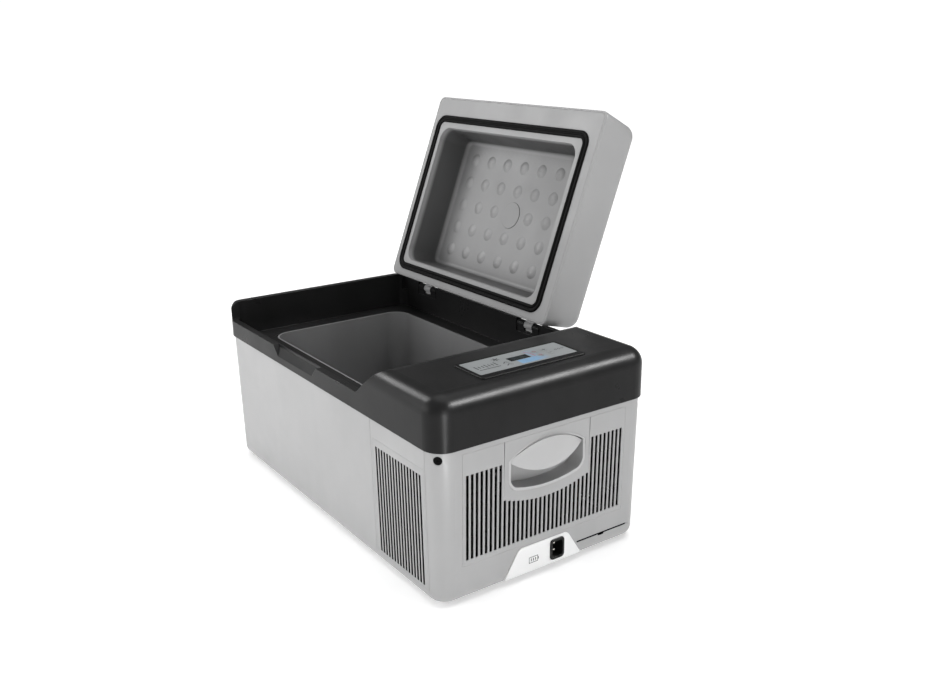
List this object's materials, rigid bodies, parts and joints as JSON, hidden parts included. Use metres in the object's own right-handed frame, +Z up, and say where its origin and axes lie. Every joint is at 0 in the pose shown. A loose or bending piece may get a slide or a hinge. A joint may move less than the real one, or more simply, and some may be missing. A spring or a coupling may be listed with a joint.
{
  "type": "compressor cooler fridge",
  "caption": "Portable compressor cooler box: grey casing, black top frame with machine hump, thick rear-hinged lid open, deep tub, vented machine bay.",
  "frame": {"origin": "centre of the body's footprint on the floor, in the plane of the four feet", "axes": "+X to the machine end with the controls and the power inlet, -Y to the side the lid opens from, +Z up; the lid stands open at rest"},
  "size_m": [0.573, 0.4452, 0.524],
  "materials": {
    "casing_grey": "light grey moulded plastic, fine satin grain",
    "lid_grey": "light grey moulded plastic, satin",
    "liner_grey": "grey vacuum-formed liner, smooth satin",
    "frame_black": "black moulded plastic, soft satin gloss",
    "grille_grey": "light grey moulded plastic, satin",
    "handle_grey": "lighter grey moulded plastic, satin",
    "gasket_black": "black soft rubber",
    "foot_rubber": "black rubber",
    "foam": "rigid polyurethane foam, unfinished",
    "label_silver": "printed silver-grey polycarbonate film",
    "key_film": "embossed membrane key",
    "display_black": "dark display window, glossy",
    "plate_white": "white moulded plate, satin",
    "inlet_black": "black inlet housing",
    "pin_brass": "bare contact pins",
    "steel_dark": "black painted steel",
    "steel_zinc": "zinc-plated sheet",
    "screw_black": "blackened steel screws",
    "copper": "copper tube",
    "fin_aluminium": "thin aluminium fins",
    "fan_black": "black fan moulding",
    "board_green": "green circuit board"
  },
  "bodies": {
    "cabinet": {"outer_casing": "casing_grey", "front_grille": "grille_grey", "rear_grille": "grille_grey", "end_grille": "grille_grey", "end_handle": "handle_grey", "far_handle": "handle_grey", "corner_screws": "screw_black", "feet": "foot_rubber", "top_frame": "frame_black", "tub_liner": "liner_grey", "evaporator": "fin_aluminium", "foam_jacket": "foam", "bulkhead": "steel_zinc", "machine_tray": "steel_zinc", "tray_screws": "steel_zinc", "compressor": "steel_dark", "compressor_mounts": "foot_rubber", "condenser_fins": "fin_aluminium", "condenser_coil": "copper", "refrigerant_pipes": "copper", "filter_drier": "copper", "fan_shroud": "fan_black", "fan_motor": "steel_dark", "power_board": "board_green", "display_board": "board_green", "control_pod": "frame_black", "control_label": "label_silver", "display_window": "display_black", "inlet_plate": "plate_white", "inlet_socket": "inlet_black", "inlet_pins": "pin_brass", "hinge_bases": "frame_black", "hinge_pins": "steel_zinc"},
    "lid": {"lid_shell": "lid_grey", "lid_liner": "liner_grey", "lid_plug": "liner_grey", "lid_gasket": "gasket_black", "lid_foam": "foam", "lid_hinges": "lid_grey"},
    "fan_rotor": {"fan_rotor": "fan_black"},
    "key_power": {"key_power": "key_film"},
    "key_set": {"key_set": "key_film"},
    "key_up": {"key_up": "key_film"},
    "key_down": {"key_down": "key_film"}
  },
  "joints": [
    {"name": "lid_hinge", "type": "hinge", "parent": "cabinet", "child": "lid", "pos_m": [0, 0.1545, 0.229], "axis": [1, 0, 0], "range_deg": [0, 110.65]},
    {"name": "fan_spin", "type": "hinge", "parent": "cabinet", "child": "fan_rotor", "pos_m": [0.219, -0.05, 0.062], "axis": [1, 0, 0], "continuous": true},
    {"name": "key_power_press", "type": "slide", "parent": "cabinet", "child": "key_power", "axis": [0, 0, -1], "range_m": [0, 0.0006], "stiffness_N_per_m": 800, "springref_m": -0.0005},
    {"name": "key_set_press", "type": "slide", "parent": "cabinet", "child": "key_set", "axis": [0, 0, -1], "range_m": [0, 0.0006], "stiffness_N_per_m": 800, "springref_m": -0.0005},
    {"name": "key_up_press", "type": "slide", "parent": "cabinet", "child": "key_up", "axis": [0, 0, -1], "range_m": [0, 0.0006], "stiffness_N_per_m": 800, "springref_m": -0.0005},
    {"name": "key_down_press", "type": "slide", "parent": "cabinet", "child": "key_down", "axis": [0, 0, -1], "range_m": [0, 0.0006], "stiffness_N_per_m": 800, "springref_m": -0.0005}
  ]
}
